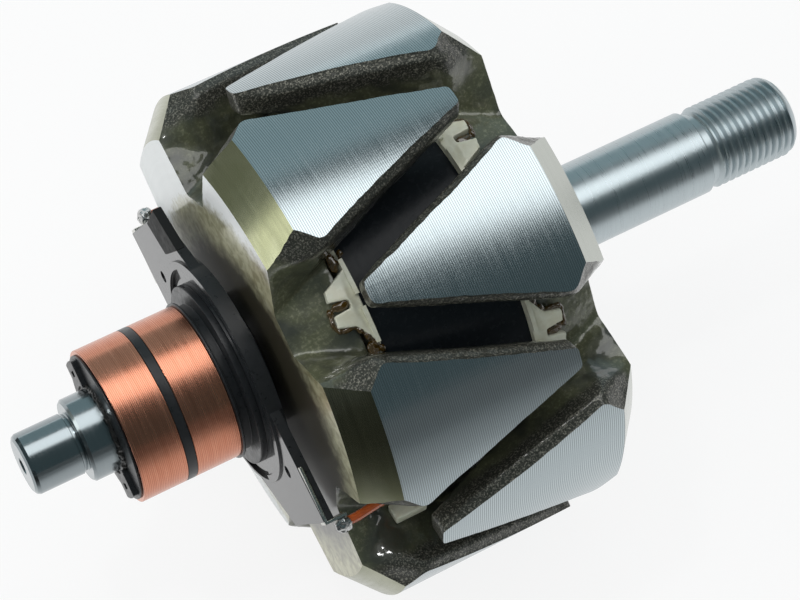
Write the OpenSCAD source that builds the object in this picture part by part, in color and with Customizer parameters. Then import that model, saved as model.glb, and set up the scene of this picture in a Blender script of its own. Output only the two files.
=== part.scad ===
// Claw-pole alternator rotor: a shaft carrying two forged six-claw poles that interlock
// over one field coil, with a moulded pair of copper slip rings at the small end.
// The shaft lies along X, the threaded drive end towards +X, and the origin is at the
// middle of the drive-end journal.

/* [Shaft] */
// Diameter of the drive-end journal
journal_d = 17; // [15:0.5:20]
// Length of the drive-end journal, from the pole face to the thread relief
journal_length = 42.2; // [34:0.2:50]
// Length of the relief groove between journal and thread
relief_length = 2.2; // [1:0.1:4]
// Depth of the relief groove below the journal
relief_depth = 0.9; // [0.4:0.1:1.6]
// How far the thread crests lie below the journal
thread_step = 0.17; // [0.1:0.01:0.6]
// Length of the threaded end
thread_length = 18.5; // [12:0.5:26]
// Diameter of the shaft inside the poles and the slip ring hub
body_d = 16.3; // [14:0.1:17]
// Diameter of the slip-end bearing seat
seat_d = 12; // [10:0.5:14]
// Length of the slip-end bearing seat
seat_length = 10.6; // [8:0.2:16]
// Length of bare shaft body between the seat and the slip ring hub
collar_length = 4.8; // [3:0.2:9]

/* [Poles] */
// Outside diameter of the machined claw faces
rotor_d = 102; // [96:0.5:112]
// Length over both poles, between their end faces
poles_length = 56; // [52:0.5:62]
// Claws on each pole
claw_count = 6; // [5:1:8]
// Thickness of the disc that carries the claws
yoke_thickness = 12; // [10:0.5:14]
// Radial width of the turned chamfer at the end face
chamfer_radial = 6.6; // [4:0.2:8]
// Axial length of the turned chamfer
chamfer_axial = 5.8; // [4:0.2:7]
// Length of a claw from the chamfer to its tip
claw_length = 36.9; // [32:0.2:40]
// Arc of the machined face where the chamfer cuts it, as a share of the claw pitch
claw_base_share = 0.4; // [0.34:0.01:0.46]
// Widest arc of the machined face, as a share of the claw pitch
claw_share = 0.555; // [0.5:0.005:0.57]
// Distance from the chamfer to the widest place
claw_shoulder = 3.6; // [2.4:0.2:5]
// Arc of the machined face at the tip, as a share of the claw pitch
claw_tip_share = 0.083; // [0.05:0.001:0.14]
// Radial thickness of a claw at its tip, as a share of that at its root
claw_taper_share = 0.333; // [0.25:0.001:0.5]
// Width of the forged bevel along the claw sides
bevel_width = 1.1; // [0.8:0.1:2]
// Depth of the forged bevel along the claw sides
bevel_depth = 1.5; // [1:0.1:3]
// Inward lean of the claw sides below the bevel, in degrees
side_draft = 20; // [12:1:26]
// Radius of the round valley bottoms at the end face
valley_round = 6; // [4:0.5:8]
// Rise of the valley floor from the end face to the coil
valley_rise = 3; // [1:0.2:5]

/* [Field coil] */
// Diameter of the iron core between the poles
core_d = 50; // [44:0.5:54]
// Wall of the insulating tube on the core
tube_wall = 1.2; // [0.8:0.1:2]
// Radial depth of the winding
winding_depth = 9.3; // [7:0.1:11]
// Thickness of the insulating cheeks
cheek_thickness = 2.4; // [1.6:0.1:3]
// Height of the cheek bars above the wrap, where they show in the valleys
bar_height = 2.1; // [1.6:0.1:3]
// Length of the cheek tabs that lie on the valley floors
tab_length = 3.6; // [2:0.2:6]
// Width of each cheek tab
tab_width = 3.7; // [2.5:0.1:4.5]
// Thickness of the tape round the winding
wrap_thickness = 0.6; // [0.4:0.1:1]

/* [Slip rings] */
// Outside diameter of the copper rings
ring_d = 30.4; // [28:0.2:34]
// Width of each ring
ring_width = 9; // [7:0.2:11]
// Width of the insulating band between the rings
band_width = 1.9; // [1.2:0.1:3]
// Radial thickness of the rings
ring_wall = 2.4; // [1.6:0.1:3]
// Width of the hub rim that holds the outer ring
end_rim = 0.5; // [0.3:0.1:1]
// How far the lugs stand out of the outer end of the hub
lug_height = 1; // [0.6:0.1:2]
// Width of the lip behind the inner ring
lip_width = 0.6; // [0.4:0.1:1.2]
// How far the lip stands above the rings
lip_height = 0.5; // [0.3:0.1:1]
// Length of the hub neck between the lip and its shoulder
neck_length = 1.8; // [1:0.1:4]
// Length of the hub shoulder that seats on the terminal plate
shoulder_length = 1.4; // [0.8:0.1:3]
// Diameter of the hub shoulder
shoulder_d = 36; // [33:0.5:39]

/* [Terminals] */
// Diameter of the disc of the terminal plate
disc_d = 45; // [42:0.5:50]
// Thickness of the disc of the terminal plate
disc_thickness = 3; // [2.4:0.1:4]
// Space between the terminal plate and the pole
plate_standoff = 2.5; // [1.5:0.1:4]
// Thickness of the ears of the terminal plate
ear_thickness = 2; // [1.4:0.1:2.4]
// How far above the valley floor the coil leads leave the straps
lead_rise = 5.4; // [4:0.1:8]
// Diameter of the hole in each ear
ear_hole_d = 2.4; // [1.6:0.1:3.4]
// Thickness of the terminal straps
strap_thickness = 0.6; // [0.4:0.1:1]
// Width of the terminal straps
strap_width = 3.2; // [2.4:0.1:4.4]
// Diameter of the coil leads
lead_d = 1.8; // [1.2:0.1:2.2]

/* [Hidden] */
$fn = 96;
// Overrun of every cut past the face that it opens
overrun = 1;
// Radial clearance between parts that slide over one another
fit_clearance = 0.1;
// Clearance between the wrap and the claw roots
coil_clearance = 1.2;
// Clearance between the cheek bars and the claw sides
bar_clearance = 0.4;
// Clearance on each side of a lead between two cheek tabs
slot_clearance = 0.3;
// How far the valley floors stand above the wrap where they meet the cheeks
valley_cover = 0.7;
// Turn between neighbouring claws, and between the two poles
claw_pitch = 360 / claw_count;
drive_turn = claw_pitch / 2;

// Stations along the shaft
drive_face_x = -journal_length / 2;
slip_face_x = drive_face_x - poles_length;
middle_x = (drive_face_x + slip_face_x) / 2;
journal_end_x = journal_length / 2;
thread_start_x = journal_end_x + relief_length;
thread_end_x = thread_start_x + thread_length;
plate_back_x = slip_face_x - plate_standoff;
plate_front_x = plate_back_x - disc_thickness;
shoulder_front_x = plate_front_x - shoulder_length;
lip_back_x = shoulder_front_x - neck_length;
inner_ring_x = lip_back_x - lip_width - ring_width;
outer_ring_x = inner_ring_x - band_width - ring_width;
hub_end_x = outer_ring_x - end_rim;
collar_end_x = hub_end_x - lug_height - collar_length;
shaft_end_x = collar_end_x - seat_length;

// Shaft
journal_r = journal_d / 2;
thread_r = journal_r - thread_step;
relief_r = journal_r - relief_depth;
body_r = body_d / 2;
seat_r = seat_d / 2;
seat_relief_length_share = 0.09;
seat_relief_depth_share = 0.06;
seat_relief_length = seat_length * seat_relief_length_share;
seat_relief_r = seat_r * (1 - seat_relief_depth_share);
end_chamfer_share = 0.16;
seat_chamfer = seat_r * end_chamfer_share;
thread_chamfer = thread_r * end_chamfer_share;
collar_chamfer_share = 0.1;
collar_chamfer = (body_r - seat_r) * collar_chamfer_share;
centre_hole_share = 0.28;
centre_hole_r = seat_r * centre_hole_share;
centre_hole_depth = seat_r;

// Field coil, built outwards from the core
coil_half = poles_length / 2 - yoke_thickness;
core_r = core_d / 2;
tube_bore_r = core_r + fit_clearance;
tube_r = tube_bore_r + tube_wall;
winding_bore_r = tube_r + fit_clearance;
winding_r = winding_bore_r + winding_depth;
wrap_r = winding_r + wrap_thickness;
winding_half = coil_half - cheek_thickness;
tab_slot = lead_d + 2 * slot_clearance;
bar_r = wrap_r + bar_height;

// Poles, in a frame of their own: the end face at height zero and the claws upwards
rotor_r = rotor_d / 2;
chamfer_r = rotor_r - chamfer_radial;
tip_height = chamfer_axial + claw_length;
root_under_r = wrap_r + coil_clearance;
tip_under_r = rotor_r - (rotor_r - root_under_r) * claw_taper_share;
shoulder_height = chamfer_axial + claw_shoulder;
half_base = rotor_r * sin(claw_base_share * claw_pitch / 2);
half_claw = rotor_r * sin(claw_share * claw_pitch / 2);
half_tip = rotor_r * sin(claw_tip_share * claw_pitch / 2);
half_side = half_claw + bevel_width;
half_arm = half_side + bevel_width;
half_nose = half_tip + 2 * bevel_width;
nose_length = half_nose;
side_slope = (half_claw - half_tip) / (tip_height - shoulder_height);
side_turn = atan(side_slope);
edge_start_r = sqrt(rotor_r ^ 2 - half_claw ^ 2);
edge_end_r = sqrt(rotor_r ^ 2 - half_tip ^ 2);
edge_length = norm([tip_height - shoulder_height, half_claw - half_tip]);
edge_rise = atan((edge_end_r - edge_start_r) / edge_length);
bevel_turn = atan(bevel_depth / bevel_width);
valley_top_r = wrap_r + valley_cover;
valley_r = valley_top_r - valley_rise;
side_top = edge_start_r - bevel_depth;
arm_foot = half_arm - (side_top - valley_r) * tan(side_draft);
side_at_cheek = half_side - (side_top - bar_r) * tan(side_draft);
arm_at_cheek = side_at_cheek - (yoke_thickness - shoulder_height) * side_slope + bar_clearance;

// The plane that cuts each shoulder corner, through three points of the claw's outline
corner_a = [half_claw, edge_start_r, shoulder_height];
corner_b = [half_base, sqrt(rotor_r ^ 2 - half_base ^ 2), chamfer_axial];
end_half_share = 0.81;
end_half = half_claw * end_half_share;
corner_c = [end_half, sqrt(chamfer_r ^ 2 - end_half ^ 2), 0];
corner_normal = cross(corner_c - corner_a, corner_b - corner_a);
corner_tilt = acos(corner_normal.z / norm(corner_normal));
corner_turn = atan2(corner_normal.y, corner_normal.x);

// A point of a claw's section, as [half width, distance out] in the next valley's frame
function in_valley(p) = [
    p.y * sin(claw_pitch / 2) - p.x * cos(claw_pitch / 2),
    p.y * cos(claw_pitch / 2) + p.x * sin(claw_pitch / 2)
];
mouth_half_share = 0.85;
mouth_half = half_claw * mouth_half_share;
valley_mouth = in_valley([mouth_half, sqrt(chamfer_r ^ 2 - mouth_half ^ 2)]);
valley_side = in_valley([half_arm, side_top]);
valley_foot = in_valley([arm_foot, valley_r]);
valley_sink_share = 0.1;
valley_round_y = valley_r + valley_round * (1 - valley_sink_share);
valley_sides = 24;

// Slip rings
ring_r = ring_d / 2;
ring_bore_r = ring_r - ring_wall;
lip_r = ring_r + lip_height;
end_rim_share = 0.95;
end_rim_r = ring_r * end_rim_share;
neck_drop_share = 0.04;
neck_r = ring_r * (1 - neck_drop_share);
shoulder_r = shoulder_d / 2;
spigot_share = 0.86;
spigot_r = ring_r * spigot_share;
lug_margin_share = 0.1;
lug_margin = (end_rim_r - body_r) * lug_margin_share;
lug_inner_r = body_r + lug_margin;
lug_outer_r = end_rim_r - lug_margin;
lug_width_share = 1.3;
lug_width = (lug_outer_r - lug_inner_r) * lug_width_share;
lug_slot_share = 0.16;
lug_slot = lug_width * lug_slot_share;

// Terminal plate
disc_r = disc_d / 2;
rim_share = 0.93;
rim_r = disc_r * rim_share;
rim_depth_share = 0.14;
rim_depth = disc_thickness * rim_depth_share;
ear_front_x = plate_front_x + rim_depth;

// The leads lie along valley floors. The ears are turned to bring the straps over them,
// and are as long as the straps need
lead_r = lead_d / 2;
lead_turn = claw_pitch + drive_turn;
strap_turn = 32.4;
ear_turn = lead_turn + strap_turn;
lead_start_r = valley_r + lead_rise;
strap_across = lead_start_r * sin(strap_turn);
solder_share = 0.8;
solder_r = lead_d * solder_share;
solder_seat_share = 0.8;
solder_flat_share = 0.7;
solder_z = lead_start_r * cos(strap_turn);
strap_top = solder_z - solder_r * solder_seat_share;
strap_inset = strap_width / 2;
strap_hook = ear_thickness + plate_standoff;
solder_end_x = ear_front_x + strap_hook;
ear_reach = strap_top - strap_thickness;
ear_near = strap_across + strap_inset;
ear_foot_shares = [0.63, 0.25];
ear_hip_shares = [-0.4, 0.57];
ear_hole_shares = [0.42, 0.67];
strap_leg_share = 0.34;
strap_leg = ear_reach * strap_leg_share;

// Route of a lead, as stations and distances from the axis
lead_floor_r = valley_top_r + lead_d;
lead_rest_r = wrap_r + lead_r;
cheek_x = slip_face_x + yoke_thickness;
lead_route = [
    [solder_end_x, lead_start_r],
    [solder_end_x + lead_d, lead_start_r],
    [slip_face_x + chamfer_axial, lead_floor_r],
    [cheek_x, lead_floor_r],
    [cheek_x + cheek_thickness, lead_rest_r]
];
lead_sides = 12;

// Raised block on the far ear
block_shares = [[-0.06, 0.98], [-0.36, 1.02], [-0.5, 0.74], [-0.17, 0.76]];
block_height_share = 0.6;
block_height = disc_thickness * block_height_share;

// Turns an outline of [radius, station] points round the shaft axis
module turned(points) {
    rotate([0, 90, 0])
        rotate_extrude()
            polygon(points);
}

// A ring between two radii and two stations
module ring(inner_r, outer_r, from_x, to_x) {
    turned([[inner_r, from_x], [outer_r, from_x], [outer_r, to_x], [inner_r, to_x]]);
}

// Children copied once round the shaft for each claw
module round_claws(turn = 0) {
    for (k = [0 : claw_count - 1])
        rotate([turn + k * claw_pitch, 0, 0])
            children();
}

// Places a shape drawn at one ear on the near ear or on the far one
module at_ear(far) {
    rotate([ear_turn + (far ? 180 : 0), 0, 0])
        children();
}

module shaft() {
    color("silver")
        difference() {
            turned([
                [0, shaft_end_x],
                [seat_r - seat_chamfer, shaft_end_x],
                [seat_r, shaft_end_x + seat_chamfer],
                [seat_r, collar_end_x - seat_relief_length],
                [seat_relief_r, collar_end_x - seat_relief_length],
                [seat_relief_r, collar_end_x],
                [body_r - collar_chamfer, collar_end_x],
                [body_r, collar_end_x + collar_chamfer],
                [body_r, drive_face_x],
                [journal_r, drive_face_x],
                [journal_r, journal_end_x],
                [relief_r, journal_end_x],
                [relief_r, thread_start_x],
                [thread_r, thread_start_x],
                [thread_r, thread_end_x - thread_chamfer],
                [thread_r - thread_chamfer, thread_end_x],
                [0, thread_end_x]
            ]);
            centre_hole(shaft_end_x, 1);
            centre_hole(thread_end_x, -1);
        }
}

// Conical lathe centre in one end of the shaft
module centre_hole(x, inward) {
    turned([
        [0, x - inward * overrun],
        [centre_hole_r, x - inward * overrun],
        [centre_hole_r, x],
        [0, x + inward * centre_hole_depth]
    ]);
}

module field_core() {
    color("dimgray")
        ring(body_r, core_r, middle_x - coil_half, middle_x + coil_half);
}

// Everything that the lathe leaves of a pole: bored disc, chamfer and claw shell
module pole_envelope() {
    rotate_extrude()
        polygon([
            [body_r, 0],
            [chamfer_r, 0],
            [rotor_r, chamfer_axial],
            [rotor_r, tip_height + bevel_width],
            [tip_under_r, tip_height + bevel_width],
            [root_under_r, yoke_thickness],
            [body_r, yoke_thickness]
        ]);
}

// One claw with its arm, as wide as the forging, before the lathe cuts it
module claw_blank() {
    nose_height = tip_height + bevel_width - nose_length;
    rotate([90, 0, 0])
        mirror([0, 0, 1])
            linear_extrude(rotor_r + overrun)
                polygon([
                    [-half_arm, -overrun],
                    [half_arm, -overrun],
                    [half_arm, shoulder_height],
                    [half_nose, nose_height],
                    [half_tip, tip_height + bevel_width],
                    [-half_tip, tip_height + bevel_width],
                    [-half_nose, nose_height],
                    [-half_arm, shoulder_height]
                ]);
}

// Places a shape drawn along one side edge of a claw face
module along_edge() {
    translate([half_claw, edge_start_r, shoulder_height])
        rotate([0, -side_turn, 0])
            rotate([-edge_rise, 0, 0])
                children();
}

// Half-space above the bevel along one side of a claw
module side_bevel_cut() {
    along_edge()
        rotate([0, 0, -bevel_turn])
            translate([-overrun, 0, -rotor_r])
                cube([rotor_r, rotor_r, rotor_d + tip_height]);
}

// Half-space beside a claw, below the bevel
module side_draft_cut() {
    along_edge()
        translate([bevel_width, -bevel_depth, 0])
            rotate([0, 0, -side_draft])
                translate([0, -rotor_r, -rotor_r])
                    cube([rotor_r, rotor_d, rotor_d + tip_height]);
}

// Half-space beyond the plane that cuts one shoulder corner
module corner_cut() {
    translate(corner_a)
        rotate([0, 0, corner_turn])
            rotate([0, corner_tilt, 0])
                translate([-rotor_r, -rotor_r, 0])
                    cube([rotor_d, rotor_d, rotor_r]);
}

module claw() {
    difference() {
        claw_blank();
        for (side = [0, 1])
            mirror([side, 0, 0]) {
                side_bevel_cut();
                side_draft_cut();
                corner_cut();
            }
    }
}

// Scallop between two claws: round at the end face, straight-sided at the coil
module valley_cut() {
    hull() {
        translate([0, 0, -overrun])
            linear_extrude(overrun) {
                translate([0, valley_round_y])
                    circle(valley_round, $fn = valley_sides);
                valley_outline(valley_mouth);
            }
        translate([0, 0, yoke_thickness])
            linear_extrude(overrun)
                valley_outline(valley_foot);
    }
}

// Outline of a valley from a low point on each side up past the claw faces
module valley_outline(low) {
    top = [valley_side.x, rotor_r + overrun];
    polygon([[-low.x, low.y], low, top, [-top.x, top.y]]);
}

module pole() {
    intersection() {
        pole_envelope();
        union() {
            cylinder(h = yoke_thickness, r1 = valley_r, r2 = valley_top_r);
            difference() {
                for (k = [0 : claw_count - 1])
                    rotate([0, 0, k * claw_pitch])
                        claw();
                for (k = [0 : claw_count - 1])
                    rotate([0, 0, (k + 1 / 2) * claw_pitch])
                        valley_cut();
            }
        }
    }
}

module slip_end_pole() {
    color("lightslategray")
        translate([slip_face_x, 0, 0])
            rotate([90, 0, 90])
                pole();
}

module drive_end_pole() {
    color("slategray")
        translate([drive_face_x, 0, 0])
            mirror([1, 0, 0])
                rotate([drive_turn, 0, 0])
                    rotate([90, 0, 90])
                        pole();
}

module coil_tube() {
    color("wheat")
        ring(tube_bore_r, tube_r, middle_x - winding_half, middle_x + winding_half);
}

// Insulating washer with a bar across every valley of its pole and two tabs on the floor
module cheek(face_x, inward, turn) {
    from_x = min(face_x, face_x + inward * cheek_thickness);
    color("beige")
        union() {
            difference() {
                ring(tube_bore_r, bar_r, from_x, from_x + cheek_thickness);
                intersection() {
                    ring(wrap_r, bar_r + overrun, from_x - overrun, from_x + cheek_thickness + overrun);
                    union() {
                        round_claws(turn)
                            bar_gap(from_x, 2 * arm_at_cheek);
                        round_claws(turn + claw_pitch / 2)
                            bar_gap(from_x, tab_slot);
                    }
                }
            }
            intersection() {
                tab_ring(face_x - inward * tab_length, face_x + inward * cheek_thickness / 2);
                round_claws(turn + claw_pitch / 2)
                    for (side = [0, 1])
                        mirror([0, side, 0])
                            translate([from_x - tab_length, tab_slot / 2, 0])
                                cube([cheek_thickness + 2 * tab_length, tab_width, rotor_r]);
            }
        }
}

// Ring that the tabs are cut from, between two stations in either order
module tab_ring(end_x, root_x) {
    ring(
        valley_top_r + fit_clearance,
        bar_r - fit_clearance,
        min(end_x, root_x),
        max(end_x, root_x)
    );
}

// Straight gap through a cheek, from the axis outwards
module bar_gap(from_x, width) {
    translate([from_x - overrun, -width / 2, 0])
        cube([cheek_thickness + 2 * overrun, width, bar_r + overrun]);
}

module slip_end_cheek() {
    cheek(middle_x - coil_half, 1, 0);
}

module drive_end_cheek() {
    cheek(middle_x + coil_half, -1, drive_turn);
}

module field_winding() {
    color("peru")
        ring(winding_bore_r, winding_r, middle_x - winding_half, middle_x + winding_half);
}

module coil_wrap() {
    color("black")
        ring(winding_r, wrap_r, middle_x - winding_half, middle_x + winding_half);
}

module slip_ring_hub() {
    color("dimgray")
        union() {
            turned([
                [body_r, hub_end_x],
                [end_rim_r, hub_end_x],
                [end_rim_r, outer_ring_x],
                [ring_bore_r, outer_ring_x],
                [ring_bore_r, outer_ring_x + ring_width],
                [ring_r, outer_ring_x + ring_width],
                [ring_r, inner_ring_x],
                [ring_bore_r, inner_ring_x],
                [ring_bore_r, inner_ring_x + ring_width],
                [lip_r, inner_ring_x + ring_width],
                [lip_r, lip_back_x],
                [neck_r, lip_back_x],
                [neck_r, shoulder_front_x],
                [shoulder_r, shoulder_front_x],
                [shoulder_r, plate_front_x],
                [spigot_r, plate_front_x],
                [spigot_r, slip_face_x],
                [body_r, slip_face_x]
            ]);
            for (far = [false, true])
                at_ear(far)
                    hub_lug();
        }
}

// Lug with a slot, on the outer end of the hub
module hub_lug() {
    slot_r = (lug_inner_r + lug_outer_r) / 2;
    difference() {
        intersection() {
            ring(lug_inner_r, lug_outer_r, hub_end_x - lug_height, outer_ring_x);
            translate([hub_end_x - lug_height, -lug_width / 2, 0])
                cube([lug_height + end_rim, lug_width, ring_r]);
        }
        translate([hub_end_x - lug_height - overrun, -lug_slot, slot_r - lug_slot / 2])
            cube([lug_height + overrun, 2 * lug_slot, lug_slot]);
    }
}

module outer_slip_ring() {
    color("chocolate")
        ring(ring_bore_r, ring_r, outer_ring_x, outer_ring_x + ring_width);
}

module inner_slip_ring() {
    color("chocolate")
        ring(ring_bore_r, ring_r, inner_ring_x, inner_ring_x + ring_width);
}

// Outline of one ear: a slanted far side, a straight end and a straight near side
module ear_outline() {
    polygon([
        [0, 0],
        ear_hip_shares * ear_reach,
        [0, ear_reach],
        [ear_near, ear_reach],
        ear_foot_shares * ear_reach
    ]);
}

// Draws an outline of [across, outwards] points as a plate that starts at a station
module plate_at(x, thickness) {
    translate([x, 0, 0])
        rotate([90, 0, 90])
            linear_extrude(thickness)
                children();
}

module terminal_plate() {
    color("darkslategray")
        difference() {
            union() {
                turned([
                    [spigot_r, plate_front_x],
                    [shoulder_r, plate_front_x],
                    [shoulder_r, ear_front_x],
                    [rim_r, ear_front_x],
                    [rim_r, plate_front_x],
                    [disc_r, plate_front_x],
                    [disc_r, plate_back_x],
                    [spigot_r, plate_back_x]
                ]);
                for (far = [false, true])
                    at_ear(far)
                        plate_at(ear_front_x, ear_thickness)
                            ear_outline();
            }
            ring(0, spigot_r, plate_front_x - overrun, plate_back_x + overrun);
            for (far = [false, true])
                at_ear(far)
                    ear_hole();
        }
}

module ear_hole() {
    translate([
        ear_front_x - overrun,
        ear_hole_shares[0] * ear_reach,
        ear_hole_shares[1] * ear_reach
    ])
        rotate([0, 90, 0])
            cylinder(h = ear_thickness + 2 * overrun, d = ear_hole_d);
}

// Raised block along the slanted side of the far ear
module lead_block() {
    color("black")
        at_ear(true)
            plate_at(ear_front_x - block_height, block_height)
                polygon([for (p = block_shares) p * ear_reach]);
}

// Bent strap over the outer corner of an ear
module terminal_strap(far) {
    color("gold")
        at_ear(far)
            translate([0, strap_across - strap_inset, 0]) {
                translate([ear_front_x - strap_thickness, 0, ear_reach - strap_leg])
                    cube([strap_thickness, strap_width, strap_leg + strap_thickness]);
                translate([ear_front_x, 0, ear_reach])
                    cube([strap_hook, strap_width, strap_thickness]);
            }
}

module near_terminal() {
    terminal_strap(false);
}

module far_terminal() {
    terminal_strap(true);
}

// Drop of solder on the hook of a strap, with a flat end where the lead leaves it
module solder_drop(far) {
    color("gainsboro")
        at_ear(far)
            intersection() {
                translate([solder_end_x - solder_r * solder_flat_share, strap_across, solder_z])
                    sphere(r = solder_r);
                translate([ear_front_x, 0, strap_top])
                    cube([strap_hook, ear_reach, ear_reach]);
            }
}

module near_solder() {
    solder_drop(false);
}

module far_solder() {
    solder_drop(true);
}

// Direction of the lead's route at one of its points
function route_way(k) =
    let (from = lead_route[max(k - 1, 0)], to = lead_route[min(k + 1, len(lead_route) - 1)])
    (to - from) / norm(to - from);

// Section of the lead at one point of its route
function lead_section(k) = [
    for (n = [0 : lead_sides - 1])
        let (turn = n * 360 / lead_sides, way = route_way(k))
        [
            lead_route[k].x - way.y * lead_r * cos(turn),
            lead_r * sin(turn),
            lead_route[k].y + way.x * lead_r * cos(turn)
        ]
];

// Enamelled lead from the strap along the valley and down between two tabs to the coil
module coil_lead(far) {
    last = len(lead_route) - 1;
    points = [for (k = [0 : last]) each lead_section(k)];
    sides = [
        for (k = [0 : last - 1], n = [0 : lead_sides - 1])
            let (m = (n + 1) % lead_sides, here = k * lead_sides, next = here + lead_sides)
            [here + n, next + n, next + m, here + m]
    ];
    caps = [
        [for (n = [0 : lead_sides - 1]) n],
        [for (n = [lead_sides - 1 : -1 : 0]) last * lead_sides + n]
    ];
    color("orangered")
        rotate([lead_turn + (far ? 180 : 0), 0, 0])
            polyhedron(points, concat(sides, caps));
}

module near_lead() {
    coil_lead(false);
}

module far_lead() {
    coil_lead(true);
}

shaft();
field_core();
slip_end_pole();
drive_end_pole();
coil_tube();
slip_end_cheek();
drive_end_cheek();
field_winding();
coil_wrap();
slip_ring_hub();
outer_slip_ring();
inner_slip_ring();
terminal_plate();
lead_block();
near_terminal();
far_terminal();
near_solder();
far_solder();
near_lead();
far_lead();
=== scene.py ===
from math import hypot, pi, radians

import bpy
from mathutils import Matrix, Vector


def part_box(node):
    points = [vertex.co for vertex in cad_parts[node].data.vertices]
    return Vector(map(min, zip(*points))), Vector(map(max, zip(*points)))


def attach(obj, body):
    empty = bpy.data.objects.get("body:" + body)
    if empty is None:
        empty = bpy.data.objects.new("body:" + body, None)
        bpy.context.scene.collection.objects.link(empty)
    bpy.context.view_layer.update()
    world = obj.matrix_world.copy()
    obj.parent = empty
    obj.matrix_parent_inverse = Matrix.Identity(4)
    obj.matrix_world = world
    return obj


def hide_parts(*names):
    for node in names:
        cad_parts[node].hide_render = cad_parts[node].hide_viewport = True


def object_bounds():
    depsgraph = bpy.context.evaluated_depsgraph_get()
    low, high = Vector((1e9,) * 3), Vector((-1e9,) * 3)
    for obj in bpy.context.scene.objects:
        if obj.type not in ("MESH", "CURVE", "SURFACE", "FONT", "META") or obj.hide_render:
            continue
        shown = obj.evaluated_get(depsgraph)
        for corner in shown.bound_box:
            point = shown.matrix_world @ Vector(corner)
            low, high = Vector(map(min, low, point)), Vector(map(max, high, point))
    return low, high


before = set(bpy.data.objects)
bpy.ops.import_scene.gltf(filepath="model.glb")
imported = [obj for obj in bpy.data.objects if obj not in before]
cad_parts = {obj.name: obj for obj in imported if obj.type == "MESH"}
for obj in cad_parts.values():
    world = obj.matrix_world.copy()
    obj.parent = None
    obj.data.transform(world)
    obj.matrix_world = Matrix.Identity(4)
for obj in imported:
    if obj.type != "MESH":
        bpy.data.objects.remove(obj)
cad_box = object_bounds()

# Sizes in metres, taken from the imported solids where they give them
MM = 0.001
slip_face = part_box("slip_end_pole")[0].x
drive_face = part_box("drive_end_pole")[1].x
rotor_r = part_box("slip_end_pole")[1].z
hub_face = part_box("slip_ring_hub")[0].x
rotor_middle = 0.5 * (slip_face + drive_face)
chamfer_radial = 6.6 * MM
chamfer_axial = 5.8 * MM
pole_bore_r = 8.16 * MM
bobbin_r = 38.4 * MM
claw_count = 6
claw_pitch = 2 * pi / claw_count
join_gap = 0.002 * MM


# Hand tools
def deselect():
    if bpy.context.object and bpy.context.object.mode != "OBJECT":
        bpy.ops.object.mode_set(mode="OBJECT")
    bpy.ops.object.select_all(action="DESELECT")


def pick(piece):
    deselect()
    piece.select_set(True)
    bpy.context.view_layer.objects.active = piece
    return piece


def edit(piece, select="SELECT"):
    pick(piece)
    bpy.ops.object.mode_set(mode="EDIT")
    bpy.ops.mesh.select_all(action=select)


def done():
    bpy.ops.object.mode_set(mode="OBJECT")


def settle(name):
    """Names the new piece and puts its place into its mesh."""
    piece = bpy.context.object
    piece.name = name
    piece.data.name = name
    bpy.ops.object.transform_apply(location=True, rotation=True, scale=True)
    return piece


def modify(piece, kind, **settings):
    pick(piece)
    change = piece.modifiers.new(kind.lower(), kind)
    for key, value in settings.items():
        setattr(change, key, value)
    bpy.ops.object.modifier_apply(modifier=change.name)
    return piece


def remesh(piece, voxel):
    return modify(piece, "REMESH", mode="VOXEL", voxel_size=voxel)


def soften(piece, rounds, **settings):
    return modify(piece, "SMOOTH", factor=0.5, iterations=rounds, **settings)


def roughen(piece, pattern, depth, middle=0.5):
    return modify(piece, "DISPLACE", texture=pattern, texture_coords="LOCAL",
                  strength=depth, mid_level=middle)


def cut(piece, tool, operation, solver="MANIFOLD"):
    """Takes a second shape off a piece, adds it or keeps what both share, and removes it."""
    modify(piece, "BOOLEAN", object=tool, operation=operation, solver=solver)
    bpy.data.objects.remove(tool)
    return piece


def smooth(piece, degrees=35):
    pick(piece)
    bpy.ops.object.shade_smooth_by_angle(angle=radians(degrees))
    return piece


def clean(piece):
    """Joins points that a cut left on top of each other, and takes out faces without area."""
    edit(piece)
    bpy.ops.mesh.remove_doubles(threshold=join_gap)
    bpy.ops.mesh.dissolve_degenerate(threshold=join_gap)
    done()
    return piece


def join(pieces):
    pick(pieces[0])
    for piece in pieces:
        piece.select_set(True)
    bpy.ops.object.join()
    return pieces[0]


def merged_copy(node_name, name):
    """A copy of a CAD node with its loose triangles joined and its flats made whole."""
    flat_angle = radians(0.4)
    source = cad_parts[node_name]
    piece = bpy.data.objects.new(name, source.data.copy())
    piece.data.name = name
    bpy.context.scene.collection.objects.link(piece)
    edit(piece)
    bpy.ops.mesh.customdata_custom_splitnormals_clear()
    bpy.ops.mesh.remove_doubles(threshold=join_gap)
    bpy.ops.mesh.dissolve_limited(angle_limit=flat_angle)
    done()
    piece.data.materials.clear()
    return piece


def round_edges(piece, width, segments=2):
    """Breaks the edges of a merged copy and shades it."""
    modify(piece, "BEVEL", width=width, segments=segments, limit_method="ANGLE",
           angle_limit=radians(30), use_clamp_overlap=True, miter_outer="MITER_ARC")
    smooth(piece, 40)
    return modify(piece, "WEIGHTED_NORMAL", keep_sharp=True)


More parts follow.
